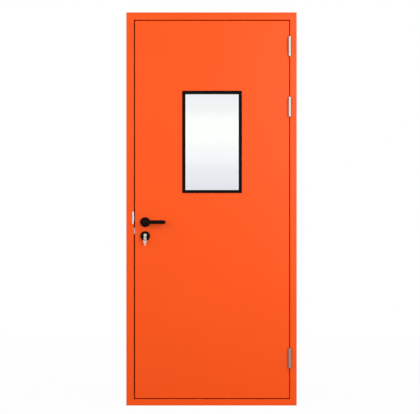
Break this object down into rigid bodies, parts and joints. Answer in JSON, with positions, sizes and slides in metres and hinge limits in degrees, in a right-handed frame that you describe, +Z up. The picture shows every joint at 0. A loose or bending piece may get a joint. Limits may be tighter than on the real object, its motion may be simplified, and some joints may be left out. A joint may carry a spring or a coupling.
{
  "type": "steel utility door",
  "caption": "Flush steel door leaf with a tall vision window, hung on barrel hinges in a four-sided folded steel frame, with lever handle, mortise lock and keyed cylinder.",
  "frame": {"origin": "on the sill's underside, at mid width and mid depth of the frame", "axes": "+Z up along the jambs, +X to the right seen from the front (towards the hinges), -Y out of the front face"},
  "size_m": [0.91, 0.18, 2.1],
  "materials": {
    "orange_paint": "satin powder coat",
    "black_metal": "satin",
    "black_gasket": "matt",
    "seal_rubber": "matt",
    "clear_glass": "clear",
    "spacer_metal": "satin",
    "stainless": "brushed",
    "zinc_steel": "zinc plated",
    "nickel": "satin nickel",
    "core_board": "unfinished honeycomb board"
  },
  "bodies": {
    "frame": {"lock_jamb": "orange_paint", "hinge_jamb": "orange_paint", "head": "orange_paint", "sill": "orange_paint", "frame_seal": "seal_rubber", "strike_plate": "stainless", "strike_box": "zinc_steel", "hinge_top_jamb_half": "stainless", "hinge_top_pin": "stainless", "hinge_middle_jamb_half": "stainless", "hinge_middle_pin": "stainless", "hinge_bottom_jamb_half": "stainless", "hinge_bottom_pin": "stainless"},
    "leaf": {"leaf_front_skin": "orange_paint", "leaf_back_skin": "orange_paint", "leaf_core": "core_board", "window_liner": "zinc_steel", "window_frame_front": "black_gasket", "window_frame_back": "black_gasket", "pane_front": "clear_glass", "pane_back": "clear_glass", "pane_spacer": "spacer_metal", "lock_case": "zinc_steel", "lock_forend": "stainless", "cylinder_body": "nickel", "lever_rose_front": "black_metal", "lever_rose_back": "black_metal", "cylinder_rose_front": "black_metal", "cylinder_rose_back": "black_metal", "hinge_top_leaf_half": "stainless", "hinge_middle_leaf_half": "stainless", "hinge_bottom_leaf_half": "stainless"},
    "lever": {"lever_front": "black_metal", "lever_back": "black_metal", "spindle": "zinc_steel"},
    "latch": {"latch_bolt": "nickel"},
    "deadbolt": {"deadbolt": "nickel"},
    "key": {"cylinder_plug": "nickel", "key": "nickel", "key_ring": "stainless", "spare_key": "nickel"}
  },
  "joints": [
    {"name": "leaf_swing", "type": "hinge", "parent": "frame", "child": "leaf", "pos_m": [0.417, -0.059, 1], "axis": [0, 0, 1], "range_deg": [0, 170]},
    {"name": "lever_turn", "type": "hinge", "parent": "leaf", "child": "lever", "pos_m": [-0.354, -0.05, 0.98], "axis": [0, 1, 0], "range_deg": [0, 45], "stiffness_Nm_per_rad": 1.3, "springref_deg": -68.75},
    {"name": "latch_slide", "type": "slide", "parent": "leaf", "child": "latch", "axis": [1, 0, 0], "range_m": [0, 0.012]},
    {"name": "key_turn", "type": "hinge", "parent": "leaf", "child": "key", "pos_m": [-0.354, -0.05, 0.91], "axis": [0, 1, 0], "range_deg": [0, 360]},
    {"name": "deadbolt_slide", "type": "slide", "parent": "leaf", "child": "deadbolt", "axis": [1, 0, 0], "range_m": [0, 0.02]}
  ],
  "couplings": [
    {"joint": "latch_slide", "follows": "lever_turn", "m_per_rad": 0.015278},
    {"joint": "deadbolt_slide", "follows": "key_turn", "m_per_rad": 0.003183}
  ]
}
